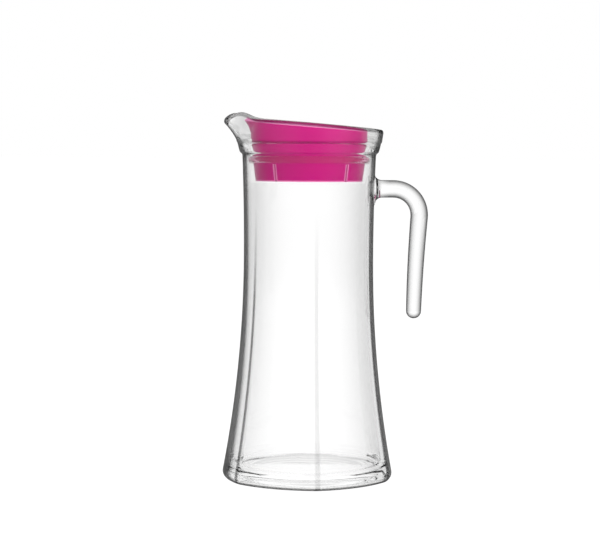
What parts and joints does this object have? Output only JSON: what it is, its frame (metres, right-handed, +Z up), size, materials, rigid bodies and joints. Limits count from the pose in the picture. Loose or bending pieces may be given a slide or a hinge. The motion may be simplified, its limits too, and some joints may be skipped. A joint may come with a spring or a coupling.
{
  "type": "glass jug with lid",
  "caption": "Tall flared glass jug with a pouring lip, an open hook handle and a push-in plastic plug lid with a soft sealing ring.",
  "frame": {"origin": "on the body's axis, in the plane that the jug stands on", "axes": "+Z up along the body's axis, +X towards the handle, -X towards the pouring spout"},
  "size_m": [0.1412, 0.1174, 0.2466],
  "materials": {
    "clear_glass": "clear, fire-polished",
    "pink_plastic": "semi-gloss, moulded",
    "clear_silicone": "translucent, smooth"
  },
  "bodies": {
    "jug": {"glass_body": "clear_glass", "glass_handle": "clear_glass"},
    "lid": {"lid": "pink_plastic", "lid_seal": "clear_silicone"}
  },
  "joints": [
    {"name": "lid_lift", "type": "slide", "parent": "jug", "child": "lid", "axis": [0, 0, 1], "range_m": [0, 0.06]}
  ]
}
